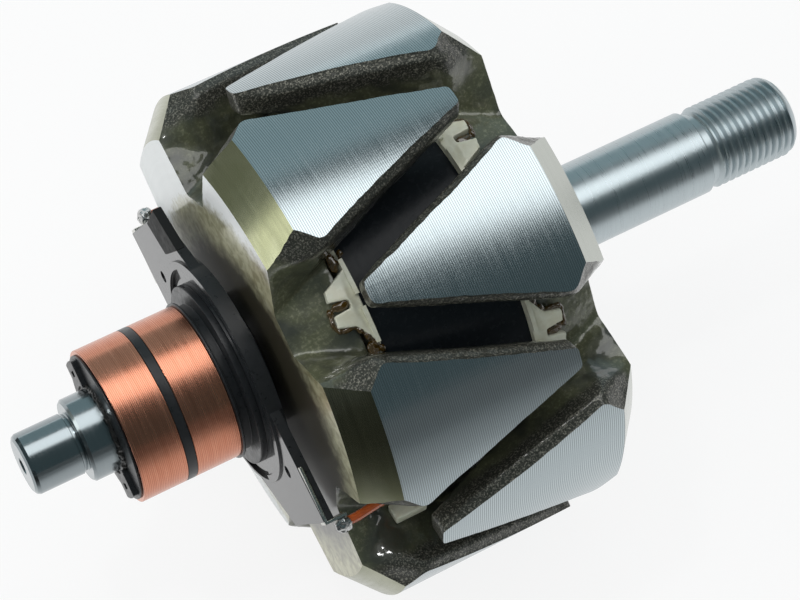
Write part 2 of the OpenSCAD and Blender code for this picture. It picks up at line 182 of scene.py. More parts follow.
def turn(name, profile, sides=128, hollow=False):
    """Turns a piece on the X axis: a disc or ring drawn from station to station."""
    deselect()
    x, r = profile[0]
    bpy.ops.mesh.primitive_circle_add(
        vertices=sides, radius=r, fill_type="NOTHING" if hollow else "NGON",
        location=(x, 0, 0), rotation=(0, pi / 2, 0))
    piece = settle(name)
    edit(piece)
    stations = profile + profile[:1] if hollow else profile
    for (x0, r0), (x1, r1) in zip(stations, stations[1:]):
        bpy.ops.mesh.extrude_region_move(TRANSFORM_OT_translate={"value": (x1 - x0, 0, 0)})
        if r1 != r0:
            bpy.ops.transform.resize(value=(1, r1 / r0, r1 / r0), center_override=(x1, 0, 0))
    bpy.ops.mesh.select_all(action="SELECT")
    bpy.ops.mesh.remove_doubles(threshold=join_gap)
    bpy.ops.mesh.normals_make_consistent(inside=False)
    done()
    return smooth(piece)


def section(name, centre, width, height):
    """A small rectangle along the shaft, from which a sweep starts."""
    deselect()
    bpy.ops.mesh.primitive_plane_add(size=1, rotation=(pi / 2, 0, 0))
    piece = bpy.context.object
    piece.scale = (width, height, 1)
    piece.location = centre
    return settle(name)


def sweep(piece, **settings):
    """Sweeps the outline of a section round the shaft and closes both ends."""
    most_sides = 8
    edit(piece)
    bpy.ops.mesh.delete(type="ONLY_FACE")
    done()
    modify(piece, "SCREW", axis="X", **settings)
    edit(piece)
    bpy.ops.mesh.fill_holes(sides=most_sides)
    bpy.ops.mesh.select_all(action="SELECT")
    bpy.ops.mesh.normals_make_consistent(inside=False)
    done()
    return piece


def turned_to(piece, name, angle):
    """A copy of a piece made at the top, turned round the shaft."""
    copy = bpy.data.objects.new(name, piece.data.copy())
    bpy.context.scene.collection.objects.link(copy)
    pick(copy)
    copy.rotation_euler = (angle, 0, 0)
    return settle(name)


def hand_over(piece, slot, made, *nodes):
    """Gives a finished piece its finish and its body, and hides the CAD nodes that it stands for."""
    if made:
        piece.data.materials.clear()
        piece.data.materials.append(made)
    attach(piece, "root")
    if nodes:
        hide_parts(*nodes)
    return piece


def lump_pattern(name, size, depth):
    made = bpy.data.textures.new(name, "CLOUDS")
    made.noise_scale = size
    made.noise_depth = depth
    return made


broad_lumps = lump_pattern("broad_lumps", 6 * MM, 2)
hammer_grain = lump_pattern("hammer_grain", 1.3 * MM, 2)
solder_lumps = lump_pattern("solder_lumps", 0.9 * MM, 1)
varnish_lumps = lump_pattern("varnish_lumps", 1.1 * MM, 2)


# Shader tools
def feed(tree, socket, value):
    """Links a socket or sets it."""
    if isinstance(value, bpy.types.NodeSocket):
        tree.links.new(value, socket)
    else:
        socket.default_value = value


def node(tree, kind, inputs=None, **settings):
    made = tree.nodes.new("ShaderNode" + kind)
    for key, value in settings.items():
        setattr(made, key, value)
    for key, value in (inputs or {}).items():
        feed(tree, made.inputs[key], value)
    return made


def maths(tree, operation, a, b=0.0, c=0.0):
    return node(tree, "Math", {0: a, 1: b, 2: c}, operation=operation).outputs[0]


def weighed(tree, a, share_a, b, share_b):
    return maths(tree, "MULTIPLY_ADD", a, share_a, maths(tree, "MULTIPLY", b, share_b))


def blend_colour(tree, share, a, b):
    """Colour a, with a share of colour b over it."""
    made = node(tree, "Mix", data_type="RGBA")
    feed(tree, made.inputs[0], share)
    for key, colour in ((6, a), (7, b)):
        linked = isinstance(colour, bpy.types.NodeSocket)
        feed(tree, made.inputs[key], colour if linked else (*colour, 1))
    return made.outputs[2]


def between(tree, value, low, high, to_low=0.0, to_high=1.0):
    made = node(tree, "MapRange", {0: value, 1: low, 2: high, 3: to_low, 4: to_high})
    made.clamp = True
    return made.outputs[0]


def effect(name, inputs, outputs):
    group = bpy.data.node_groups.new(name, "ShaderNodeTree")
    for label, kind, value in inputs:
        socket = group.interface.new_socket(label, in_out="INPUT", socket_type="NodeSocket" + kind)
        socket.default_value = value
    for label in outputs:
        group.interface.new_socket(label, in_out="OUTPUT", socket_type="NodeSocketFloat")
    start = group.nodes.new("NodeGroupInput")
    end = group.nodes.new("NodeGroupOutput")
    return group, start.outputs, end.inputs


def use(tree, group, **values):
    made = tree.nodes.new("ShaderNodeGroup")
    made.node_tree = group
    for key, value in values.items():
        feed(tree, made.inputs[key], value)
    return made.outputs


def cut_marks_effect():
    """Marks of a lathe tool: even grooves, faint streaks and fine lines along the cut."""
    streak_scale = 900
    line_scale = (4200, 160, 160)
    group, given, out = effect(
        "cut_marks",
        [("Place", "Vector", (0, 0, 0)), ("Along", "Float", 0), ("Pitch", "Float", 0.42 * MM)],
        ["Height", "Groove", "Streak"])
    per_radian = maths(group, "DIVIDE", given["Pitch"], 2 * pi)
    wave = maths(group, "SINE", maths(group, "DIVIDE", given["Along"], per_radian))
    groove = maths(group, "MULTIPLY_ADD", wave, 0.5, 0.5)
    streak = node(group, "TexNoise", {"W": given["Along"], "Scale": streak_scale, "Detail": 4},
                  noise_dimensions="1D").outputs[0]
    drawn_out = node(group, "Mapping", {"Vector": given["Place"], "Scale": line_scale}).outputs[0]
    lines = node(group, "TexNoise", {"Vector": drawn_out, "Scale": 1, "Detail": 3}).outputs[0]
    group.links.new(weighed(group, groove, 0.6, lines, 0.5), out["Height"])
    group.links.new(groove, out["Groove"])
    group.links.new(weighed(group, streak, 0.4, lines, 0.6), out["Streak"])
    return group


def grain_effect():
    """Forged or moulded grain: small lumps with pits between them, and pale flecks."""
    pit_share = 0.35
    fleck_low, fleck_high = 0.5, 0.66
    group, given, out = effect(
        "grain", [("Place", "Vector", (0, 0, 0)), ("Scale", "Float", 900)], ["Height", "Flecks"])
    lumps = node(group, "TexNoise", {"Vector": given["Place"], "Scale": given["Scale"],
                                     "Detail": 6, "Roughness": 0.65}).outputs[0]
    pits = node(group, "TexVoronoi", {"Vector": given["Place"], "Scale": given["Scale"]}).outputs[0]
    group.links.new(maths(group, "MULTIPLY_ADD", pits, pit_share, lumps), out["Height"])
    group.links.new(between(group, lumps, fleck_low, fleck_high), out["Flecks"])
    return group


def varnish_effect():
    """Dipping varnish: a mask of where it lies thick, and how it shades."""
    film_low, film_high = 0.38, 0.58
    shade_scale = 3.5
    group, given, out = effect(
        "varnish", [("Place", "Vector", (0, 0, 0)), ("Scale", "Float", 120)], ["Film", "Shade"])
    runs = node(group, "TexNoise", {"Vector": given["Place"], "Scale": given["Scale"],
                                    "Detail": 4, "Distortion": 0.6}).outputs[0]
    finer = maths(group, "MULTIPLY", given["Scale"], shade_scale)
    shade = node(group, "TexNoise", {"Vector": given["Place"], "Scale": finer, "Detail": 3}).outputs[0]
    group.links.new(between(group, runs, film_low, film_high), out["Film"])
    group.links.new(shade, out["Shade"])
    return group


cut_marks = cut_marks_effect()
grain = grain_effect()
varnish = varnish_effect()

# Finishes
noise_low, noise_high = 0.3, 0.7


def finish(name, **constants):
    """A new finish: its tree, its shader and the place on the piece."""
    made = bpy.data.materials.new(name)
    made.use_nodes = True
    tree = made.node_tree
    shader = tree.nodes["Principled BSDF"]
    for key, value in constants.items():
        shader.inputs[key.replace("_", " ")].default_value = value
    place = node(tree, "TexCoord").outputs["Object"]
    return made, tree, shader, place


def axes(tree, place):
    """The place along the shaft and across it, and its distance from the axis."""
    x, y, z = node(tree, "SeparateXYZ", {0: place}).outputs
    r = maths(tree, "SQRT", maths(tree, "MULTIPLY_ADD", y, y, maths(tree, "MULTIPLY", z, z)))
    return x, y, r


def at_slip_end(tree, x, elsewhere=0.0):
    """One on the slip-end pole, less on the drive-end one."""
    drive_side, slip_side = -45 * MM, -55 * MM
    return between(tree, x, drive_side, slip_side, elsewhere, 1.0)


def wire(tree, shader, **values):
    for key, value in values.items():
        tree.links.new(value, shader.inputs[key.replace("_", " ")])


def bump(tree, height, depth):
    return node(tree, "Bump", {"Height": height, "Distance": depth, "Strength": 1.0}).outputs[0]


def turned_metal(name, dark, light, pitch, depth, rough, lines, darker_before=None):
    """Bare turned metal with tool marks across X, darker in colour and smoother before a given place along
    X.
    """
    tone_low, tone_high = 0.25, 0.75
    darker_fade = 5 * MM
    darker_share = 0.6
    darker_tone = [0.55 * c for c in dark]
    roughness_drop = -0.13
    made, tree, shader, place = finish(name, Metallic=1.0)
    x = axes(tree, place)[0]
    marks = use(tree, cut_marks, Place=place, Along=x, Pitch=pitch)
    tone = weighed(tree, marks["Groove"], lines, marks["Streak"], 1 - lines)
    colour = blend_colour(tree, between(tree, tone, tone_low, tone_high), dark, light)
    gloss = between(tree, marks["Streak"], noise_low, noise_high, *rough)
    # Darker in colour and smoother before the given place along X
    if darker_before is not None:
        darker_part = between(tree, x, darker_before + darker_fade, darker_before)
        colour = blend_colour(tree, maths(tree, "MULTIPLY", darker_part, darker_share), colour, darker_tone)
        gloss = maths(tree, "MULTIPLY_ADD", darker_part, roughness_drop, gloss)
    wire(tree, shader, Base_Color=colour, Roughness=gloss,
         Normal=bump(tree, marks["Height"], depth))
    return made


def chamfer_finish():
    """Turned like the claw faces, with a thin olive film of varnish left on."""
    made, tree, shader, place = finish("chamfer_steel", Metallic=1.0)
    x = axes(tree, place)[0]
    marks = use(tree, cut_marks, Place=place, Along=x, Pitch=0.3 * MM)
    film = use(tree, varnish, Place=place, Scale=70)
    steel = blend_colour(tree, marks["Streak"], (0.4, 0.42, 0.38), (0.54, 0.56, 0.52))
    olive = blend_colour(tree, film["Film"], (0.34, 0.35, 0.24), (0.25, 0.26, 0.16))
    wire(tree, shader,
         Base_Color=blend_colour(tree, at_slip_end(tree, x), steel, olive),
         Roughness=between(tree, marks["Streak"], noise_low, noise_high, 0.16, 0.26),
         Normal=bump(tree, marks["Height"], 0.003 * MM))
    return made


def end_face_finish():
    """Bright where it was turned last; nearer to the plate an olive, then deep brown stain that is partly
    varnish and partly painted shade, where the face mirrors the dark plate and hub.
    """
    stain_and_shade_lean = 0.27
    broad_wander, fine_wander = 5 * MM, 3.5 * MM
    stain_and_shade_start, stain_and_shade_full = 45 * MM, 41.5 * MM
    deep_stain_and_shade_start, deep_stain_and_shade_full = 36.5 * MM, 31 * MM
    drive_end_stain_and_shade = 0.3
    brown_stain_and_shade = (0.045, 0.04, 0.027)
    made, tree, shader, place = finish("end_face_steel", Coat_Roughness=0.12)
    x, y, r = axes(tree, place)
    marks = use(tree, cut_marks, Place=place, Along=r, Pitch=0.35 * MM)
    broad = use(tree, varnish, Place=place, Scale=150)
    fine = use(tree, varnish, Place=place, Scale=520)
    # The stain edge wanders and leans across y. The olive stain and the deep brown nearer the plate are
    # partly varnish film and partly painted shade from the dark plate and hub in the face's reflection
    edge = maths(tree, "MULTIPLY_ADD", broad["Shade"], broad_wander, r)
    edge = maths(tree, "MULTIPLY_ADD", y, stain_and_shade_lean, edge)
    edge = maths(tree, "MULTIPLY_ADD", fine["Shade"], fine_wander, edge)
    amount = at_slip_end(tree, x, drive_end_stain_and_shade)
    stain_and_shade_share = maths(tree, "MULTIPLY", between(tree, edge, stain_and_shade_start, stain_and_shade_full), amount)
    deep = maths(tree, "MULTIPLY", between(tree, edge, deep_stain_and_shade_start, deep_stain_and_shade_full), amount)
    steel = blend_colour(tree, marks["Streak"], (0.72, 0.74, 0.74), (0.84, 0.86, 0.86))
    olive = blend_colour(tree, fine["Film"], (0.27, 0.255, 0.14), (0.46, 0.45, 0.29))
    stain_and_shade_colour = blend_colour(tree, deep, olive, brown_stain_and_shade)
    wire(tree, shader,
         Base_Color=blend_colour(tree, stain_and_shade_share, steel, stain_and_shade_colour),
         Metallic=between(tree, stain_and_shade_share, 0, 1, 0.55, 0.3),
         Roughness=between(tree, stain_and_shade_share, 0, 1, 0.42, 0.28),
         Coat_Weight=maths(tree, "MULTIPLY", stain_and_shade_share, 0.5),
         Normal=bump(tree, marks["Height"], 0.003 * MM))
    return made


def forged_finish():
    """Hammer scale: grainy and bare near the turned faces, under glossy varnish in the valleys."""
    film_wander = 3 * MM
    varnished_r, bare_r = 46.8 * MM, 48.6 * MM
    varnished_bump = 0.35
    made, tree, shader, place = finish("forged_iron", Coat_Roughness=0.08, Coat_IOR=1.55)
    r = axes(tree, place)[2]
    scale = use(tree, grain, Place=place, Scale=2900)
    specks = use(tree, grain, Place=place, Scale=1700)
    film = use(tree, varnish, Place=place, Scale=110)
    edge = maths(tree, "MULTIPLY_ADD", film["Shade"], film_wander, r)
    bare = between(tree, edge, varnished_r, bare_r)
    rim = blend_colour(tree, scale["Flecks"], (0.036, 0.037, 0.03), (0.27, 0.26, 0.215))
    olive = blend_colour(tree, specks["Flecks"], (0.085, 0.09, 0.05), (0.175, 0.18, 0.112))
    deep = blend_colour(tree, film["Film"], (0.036, 0.039, 0.028), olive)
    relief = between(tree, bare, 0, 1, varnished_bump, 1.0)
    wire(tree, shader,
         Base_Color=blend_colour(tree, bare, deep, rim),
         Metallic=between(tree, bare, 0, 1, 0.15, 0.45),
         Roughness=between(tree, film["Shade"], noise_low, noise_high, 0.28, 0.44),
         Coat_Weight=between(tree, bare, 0, 1, 1.0, 0.5),
         Normal=bump(tree, maths(tree, "MULTIPLY", scale["Height"], relief), 0.1 * MM))
    return made


def cheek_finish():
    """Cream nylon with a thin, uneven film of varnish."""
    film_share = 0.2
    film_brown = (0.42, 0.34, 0.14)
    made, tree, shader, place = finish("bobbin_nylon", Coat_Roughness=0.1)
    skin = use(tree, grain, Place=place, Scale=700)
    film = use(tree, varnish, Place=place, Scale=300)
    fresh = blend_colour(tree, film["Shade"], (0.56, 0.57, 0.46), (0.68, 0.69, 0.58))
    thickness = maths(tree, "MULTIPLY", film["Film"], film_share)
    wire(tree, shader,
         Base_Color=blend_colour(tree, thickness, fresh, film_brown),
         Roughness=between(tree, film["Shade"], noise_low, noise_high, 0.3, 0.45),
         Coat_Weight=maths(tree, "MULTIPLY", film["Film"], 0.8),
         Normal=bump(tree, skin["Height"], 0.02 * MM))
    return made


def skinned(name, dark, light, rough, grain_scale, depth, wear_scale, **constants):
    """A plain material that shades between two tones, with a fine skin."""
    made, tree, shader, place = finish(name, **constants)
    skin = use(tree, grain, Place=place, Scale=grain_scale)
    wear = use(tree, varnish, Place=place, Scale=wear_scale)
    wire(tree, shader,
         Base_Color=blend_colour(tree, wear["Shade"], dark, light),
         Roughness=between(tree, wear["Shade"], noise_low, noise_high, *rough),
         Normal=bump(tree, skin["Height"], depth))
    return made


def moulding(name, dark, light, rough, grain_scale, depth, **constants):
    return skinned(name, dark, light, rough, grain_scale, depth, wear_scale=260, **constants)


def drawn_metal(name, dark, light, rough):
    return skinned(name, dark, light, rough, grain_scale=1600, depth=0.02 * MM, wear_scale=500, Metallic=1.0)


shaft_steel = turned_metal(
    "shaft_steel", (0.4, 0.45, 0.47), (0.5, 0.56, 0.58),
    pitch=0.16 * MM, depth=0.002 * MM, rough=(0.25, 0.34), lines=0.2, darker_before=-95 * MM)
claw_face_steel = turned_metal(
    "claw_face_steel", (0.34, 0.385, 0.4), (0.52, 0.58, 0.6),
    pitch=0.42 * MM, depth=0.005 * MM, rough=(0.17, 0.24), lines=0.75)
ring_copper = turned_metal(
    "ring_copper", (0.47, 0.165, 0.095), (0.74, 0.335, 0.22),
    pitch=0.34 * MM, depth=0.004 * MM, rough=(0.2, 0.3), lines=0.35)
chamfer_steel = chamfer_finish()
end_face_steel = end_face_finish()
forged_iron = forged_finish()
bobbin_nylon = cheek_finish()
black_moulding = moulding(
    "black_moulding", (0.008, 0.009, 0.01), (0.018, 0.019, 0.021), rough=(0.26, 0.38),
    grain_scale=900, depth=0.006 * MM, IOR=1.4)
moulded_face = moulding(
    "moulded_face", (0.01, 0.011, 0.012), (0.02, 0.022, 0.024), rough=(0.12, 0.2),
    grain_scale=300, depth=0.002 * MM, IOR=1.5, Coat_Weight=0.15, Coat_IOR=1.95, Coat_Roughness=0.06)
matt_moulding = moulding(
    "matt_moulding", (0.006, 0.007, 0.007), (0.014, 0.015, 0.015), rough=(0.45, 0.6),
    grain_scale=1200, depth=0.02 * MM, Specular_IOR_Level=0.1)
black_tape = moulding(
    "black_tape", (0.007, 0.009, 0.011), (0.013, 0.016, 0.019), rough=(0.2, 0.3),
    grain_scale=500, depth=0.02 * MM, Specular_IOR_Level=0.16)
black_glue = moulding(
    "black_glue", (0.006, 0.006, 0.006), (0.016, 0.015, 0.014), rough=(0.1, 0.22),
    grain_scale=600, depth=0.05 * MM)
amber_varnish = moulding(
    "amber_varnish", (0.018, 0.01, 0.002), (0.085, 0.046, 0.007), rough=(0.05, 0.1),
    grain_scale=900, depth=0.06 * MM, Coat_Weight=1.0, Coat_IOR=1.7, Coat_Roughness=0.03)
lead_enamel = moulding(
    "lead_enamel", (0.32, 0.05, 0.012), (0.62, 0.14, 0.03), rough=(0.14, 0.26),
    grain_scale=500, depth=0.01 * MM, Coat_Weight=1.0, Coat_Roughness=0.05)
tinned_brass = drawn_metal("tinned_brass", (0.54, 0.54, 0.5), (0.7, 0.7, 0.66), rough=(0.2, 0.32))
solder = drawn_metal("solder", (0.5, 0.5, 0.5), (0.68, 0.68, 0.67), rough=(0.2, 0.36))
winding_copper = drawn_metal("winding_copper", (0.5, 0.2, 0.1), (0.66, 0.3, 0.16), rough=(0.25, 0.4))
core_iron = drawn_metal("core_iron", (0.2, 0.2, 0.19), (0.3, 0.3, 0.29), rough=(0.4, 0.55))

# Poles: forged blanks, turned on the claw faces, chamfers, bore and end face
POLE_FINISHES = (forged_iron, claw_face_steel, chamfer_steel, end_face_steel)
FORGED, CLAW_FACE, CHAMFER, END_FACE = range(len(POLE_FINISHES))


def is_turned(mesh, face, end_x):
    """Whether the lathe cuts this face of a pole."""
    near = 0.04 * MM
    slope = chamfer_radial / chamfer_axial
    corners = [mesh.vertices[i].co for i in face.vertices]
    spots = [(abs(v.x - end_x), hypot(v.y, v.z)) for v in corners]
    return (all(height < near for height, r in spots)
            or all(r > rotor_r - near for height, r in spots)
            or all(r < pole_bore_r + near for height, r in spots)
            or all(abs(rotor_r - chamfer_radial + height * slope - r) < 2 * near for height, r in spots))


def forged_blank(node_name, name, end_x):
    """The pole as it leaves the hammer: thick where the lathe cuts, rounded and lumpy elsewhere."""
    allowance = 1.2 * MM
    voxel = 0.5 * MM
    shoulder_depth = 12 * MM
    shoulder_fade = 3 * MM
    shoulder_r = 30 * MM
    blank_rounds, shoulder_rounds = 6, 40
    broad_depth, grain_depth = 0.35 * MM, 0.2 * MM
    piece = merged_copy(node_name, name)
    mesh = piece.data
    bpy.context.tool_settings.mesh_select_mode = (False, False, True)
    edit(piece, "DESELECT")
    done()
    for face in mesh.polygons:
        face.select = is_turned(mesh, face, end_x)
    bpy.ops.object.mode_set(mode="EDIT")
    bpy.ops.mesh.extrude_region_shrink_fatten(TRANSFORM_OT_shrink_fatten={"value": allowance})
    done()
    bpy.context.tool_settings.mesh_select_mode = (True, False, False)
    remesh(piece, voxel)
    soften(piece, blank_rounds)
    shoulder = piece.vertex_groups.new(name="shoulder")
    for v in piece.data.vertices:
        height = abs(v.co.x - end_x)
        if height < shoulder_depth and hypot(v.co.y, v.co.z) > shoulder_r:
            shoulder.add([v.index], min(1, (shoulder_depth - height) / shoulder_fade), "REPLACE")
    soften(piece, shoulder_rounds, vertex_group="shoulder")
    roughen(piece, broad_lumps, broad_depth)
    return roughen(piece, hammer_grain, grain_depth)


def turned_envelope(end_x, inward):
    """What the lathe leaves: the outside, the chamfer, the end face and the bore."""
    length = 62 * MM
    near = 0.1 * MM
    far_x = end_x + inward * length
    piece = turn("turned_envelope", [
        (end_x, pole_bore_r), (end_x, rotor_r - chamfer_radial), (end_x + inward * chamfer_axial, rotor_r),
        (far_x, rotor_r), (far_x, pole_bore_r)], sides=360, hollow=True)
    for face in piece.data.polygons:
        height = abs(face.center.x - end_x)
        out = hypot(face.center.y, face.center.z)
        if height < near:
            face.material_index = END_FACE
        elif out < 0.5 * rotor_r:
            face.material_index = FORGED
        else:
            face.material_index = CHAMFER if height < chamfer_axial else CLAW_FACE
    return piece


def make_pole(node_name, name, end_x, inward):
    """A forged blank cut down to what the lathe leaves, with a finish for each kind of face."""
    piece = forged_blank(node_name, name, end_x)
    envelope = turned_envelope(end_x, inward)
    for shape in (piece, envelope):
        for made in POLE_FINISHES:
            shape.data.materials.append(made)
    cut(piece, envelope, "INTERSECT")
    smooth(clean(piece), 32)
    return hand_over(piece, "pole_iron", None, node_name)


make_pole("slip_end_pole", "slip_end_claws", slip_face, 1)
make_pole("drive_end_pole", "drive_end_claws", drive_face, -1)


# Shaft with a cut thread
def thread_cutter(start, end, crest_r, root_r, pitch):
    """One groove drawn as a section, narrowed at its root and screwed along the shaft."""
    over = 0.12 * MM
    mouth_share = 0.84
    root_share = 0.16
    lead_in = 0.7
    spare_turns = 3
    steps = 96
    height = crest_r + over - root_r
    mouth = pitch * mouth_share * (1 + over / (crest_r - root_r))
    first = Vector((start - lead_in * pitch, 0, root_r + height / 2))
    piece = section("thread_cutter", first, mouth, height)
    for v in piece.data.vertices:
        v.select = v.co.z < first.z
    for line in piece.data.edges:
        line.select = all(piece.data.vertices[i].select for i in line.vertices)
    for face in piece.data.polygons:
        face.select = False
    bpy.ops.object.mode_set(mode="EDIT")
    bpy.ops.transform.resize(value=(root_share / mouth_share, 1, 1), center_override=first)
    done()
    return sweep(piece, screw_offset=pitch, angle=2 * pi, steps=steps, render_steps=steps,
                 iterations=int((end - start) / pitch) + spare_turns, use_merge_vertices=False)


def make_shaft():
    """The shaft turned from one profile, with its thread cut after that."""
    low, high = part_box("shaft")
    journal_r = high.z
    body_r = 8.15 * MM
    seat_r = 6.0 * MM
    seat_chamfer = 0.96 * MM
    seat_round = 0.35 * seat_chamfer
    groove_start_r, groove_end_r = 5.66 * MM, 5.64 * MM
    groove_start, groove_lip = 1.0 * MM, 0.85 * MM
    fillet_r = 5.9 * MM
    hole_r = 1.68 * MM
    hole_depth = 4 * MM
    tip_r = 0.2 * MM
    edge = 0.25 * MM
    collar = hub_face - 4.8 * MM
    journal_end = 21.1 * MM
    relief_end = 23.3 * MM
    relief_r = 7.45 * MM
    crest_r = 8.33 * MM
    root_r = 7.5 * MM
    thread_pitch = 1.55 * MM
    end_chamfer = 2.5 * MM
    end_round = ((0.55, 7.85 * MM), (0.22, 7.05 * MM), (0, 6.1 * MM))
    seat_end = [
        (low.x + hole_depth, tip_r), (low.x, hole_r), (low.x, seat_r - seat_chamfer),
        (low.x + seat_round, seat_r - seat_round), (low.x + seat_chamfer, seat_r)]
    groove_and_collar = [
        (collar - groove_start, seat_r), (collar - groove_lip, groove_start_r),
        (collar - edge, groove_end_r), (collar, fillet_r),
        (collar, body_r - 2 * edge), (collar + 2 * edge, body_r)]
    journal = [
        (drive_face - edge, body_r), (drive_face - edge, journal_r - edge), (drive_face, journal_r),
        (journal_end - edge, journal_r), (journal_end, journal_r - edge)]
    thread = [
        (journal_end + edge, relief_r), (relief_end - 2 * edge, relief_r), (relief_end + edge, crest_r),
        (high.x - end_chamfer, crest_r)]
    rounded_end = [(high.x - share * end_chamfer, r) for share, r in end_round]
    centre_hole = [(high.x, hole_r), (high.x - hole_depth, tip_r)]
    piece = turn("turned_shaft", seat_end + groove_and_collar + journal + thread + rounded_end + centre_hole)
    cut(piece, thread_cutter(relief_end, high.x, crest_r, root_r, thread_pitch), "DIFFERENCE", "EXACT")
    smooth(clean(piece), 28)
    return hand_over(piece, "shaft_steel", shaft_steel, "shaft")


make_shaft()

# Slip ring assembly
ring_edge = 0.18 * MM
hub_edge = 0.18 * MM
plate_edge = 0.22 * MM
block_edge = 0.3 * MM
strap_edge = 0.12 * MM


def make_ring(node_name, name):
    piece = round_edges(merged_copy(node_name, name), ring_edge)
    hand_over(piece, "ring_copper", ring_copper, node_name)


def make_hub():
    piece = round_edges(merged_copy("slip_ring_hub", "moulded_hub"), hub_edge)
    hand_over(piece, "black_moulding", black_moulding, "slip_ring_hub")


def make_block():
    piece = round_edges(merged_copy("lead_block", "moulded_block"), block_edge, segments=3)
    hand_over(piece, "black_moulding", matt_moulding, "lead_block")


def polish_faces(piece):
    """Gives the faces that the mould polished, those square to the shaft, their own gloss."""
    square = -0.97
    piece.data.materials.clear()
    for made in (black_moulding, moulded_face):
        piece.data.materials.append(made)
    for face in piece.data.polygons:
        face.material_index = int(face.normal.x < square)
    return piece


def crescent_cutter(low_r, high_r, start, span):
    """A shallow curved pocket: a section swept round the shaft."""
    top, bottom = -83.4 * MM, -81.5 * MM
    steps = 24
    centre = (0.5 * (top + bottom), 0, 0.5 * (low_r + high_r))
    piece = section("crescent_cutter", centre, bottom - top, high_r - low_r)
    sweep(piece, screw_offset=0, angle=radians(span), steps=steps, render_steps=steps)
    pick(piece)
    piece.rotation_euler = (radians(start), 0, 0)
    return settle("crescent_cutter")


def make_plate():
    """The plate with its two pockets, each given by its radii, first angle and span."""
    pockets = ((19.0 * MM, 20.8 * MM, -98, 42), (20.4 * MM, 21.9 * MM, 128, 42))
    piece = merged_copy("terminal_plate", "moulded_plate")
    for low_r, high_r, start, span in pockets:
        cut(piece, crescent_cutter(low_r, high_r, start, span), "DIFFERENCE")
    polish_faces(round_edges(piece, plate_edge))
    hand_over(piece, "black_moulding", None, "terminal_plate")


def make_strap(side):
    """The front leg lies sunk in the ear, so that only the hook round its edge shows."""
    front_leg = -82.1 * MM
    sunk = 0.7 * MM
    piece = merged_copy(side + "_terminal", side + "_strap")
    for v in piece.data.vertices:
        if v.co.x < front_leg:
            v.co.x += sunk
    round_edges(piece, strap_edge)
    hand_over(piece, "tinned_brass", tinned_brass, side + "_terminal")


def make_solder(side):
    """A blob that ran before it set."""
    voxel = 0.14 * MM
    lump_depth = 0.9 * MM
    piece = merged_copy(side + "_solder", side + "_solder_lump")
    remesh(piece, voxel)
    roughen(piece, solder_lumps, lump_depth, middle=0.2)
    soften(piece, 4)
    hand_over(smooth(piece, 60), "solder", solder, side + "_solder")


make_ring("outer_slip_ring", "outer_copper_ring")
make_ring("inner_slip_ring", "inner_copper_ring")
make_hub()
make_plate()
make_block()
for side in ("near", "far"):
    make_strap(side)
    make_solder(side)

# Bobbin cheeks with a notched tab in each valley, and the varnish that set round them
# Places along the shaft, across it and out from it are in millimetres, at the slip end
TAB_OUTLINE = (
    (-62.75, -6.6), (-64.4, -5.7), (-68.25, -3.75), (-68.6, -1.75), (-65.0, -0.95), (-65.05, 0.55),
    (-68.6, 0.75), (-68.9, 3.0), (-65.6, 3.95), (-63.9, 6.5), (-62.75, 8.8))
VARNISH_BEADS = (
    ((-66.6, -0.5, 37.45), (1.8, 1.0, 0.5)), ((-68.9, 0.1, 37.3), (0.6, 1.0, 0.6)),
    ((-69.2, 1.9, 37.3), (0.45, 1.6, 0.7)), ((-68.6, 3.4, 37.4), (0.7, 0.6, 0.6)),
    ((-67.0, 3.8, 37.5), (1.6, 0.55, 0.65)), ((-65.2, 4.7, 37.6), (0.75, 0.8, 0.7)),
    ((-64.3, 6.2, 37.6), (0.7, 0.95, 0.7)), ((-63.5, 7.6, 37.5), (0.65, 1.0, 0.7)),
    ((-62.7, 9.1, 37.3), (0.6, 0.9, 0.6)), ((-63.0, -7.4, 37.7), (0.5, 1.1, 0.55)),
    ((-62.4, -9.0, 37.6), (0.6, 0.75, 0.6)), ((-64.3, -7.9, 37.0), (0.9, 2.0, 0.55)),
    ((-64.2, 8.7, 36.9), (0.9, 1.7, 0.5)))
SLIP_END, DRIVE_END = -1, 1


def mirrored_end(x, side, end):
    """The same spot on the slip-end cheek, or on the drive-end one, which faces the other way."""
    if end == SLIP_END:
        return x * MM, side * MM
    return 2 * rotor_middle - x * MM, -side * MM


def bobbin_tab(end):
    """One tab as moulded: its outline drawn from a circle, raised and softened."""
    low_r = 36.7 * MM
    voxel = 0.22 * MM
    start_r = 5 * MM
    deselect()
    bpy.ops.mesh.primitive_circle_add(vertices=len(TAB_OUTLINE), radius=start_r, fill_type="NGON")
    piece = settle("bobbin_tab")
    for v, (x, side) in zip(piece.data.vertices, TAB_OUTLINE):
        x, side = mirrored_end(x, side, end)
        v.co = (x, -side, (low_r ** 2 - side ** 2) ** 0.5)
    edit(piece)
    bpy.ops.mesh.extrude_region_move(TRANSFORM_OT_translate={"value": (0, 0, bobbin_r - low_r)})
    bpy.ops.mesh.select_all(action="SELECT")
    bpy.ops.mesh.normals_make_consistent(inside=False)
    done()
    remesh(piece, voxel)
    return soften(piece, 4)


def varnish_cluster(end):
    """The beads of one valley, run together."""
    voxel = 0.2 * MM
    beads = []
    for (x, side, r), half_size in VARNISH_BEADS:
        x, side = mirrored_end(x, side, end)
        curve_drop = side ** 2 / (2 * bobbin_r)
        deselect()
        bpy.ops.mesh.primitive_uv_sphere_add(
            segments=20, ring_count=12, radius=MM, location=(x, -side, r * MM - curve_drop))
        bpy.context.object.scale = half_size
        beads.append(settle("varnish_bead"))
    piece = join(beads)
    remesh(piece, voxel)
    return soften(piece, 5)


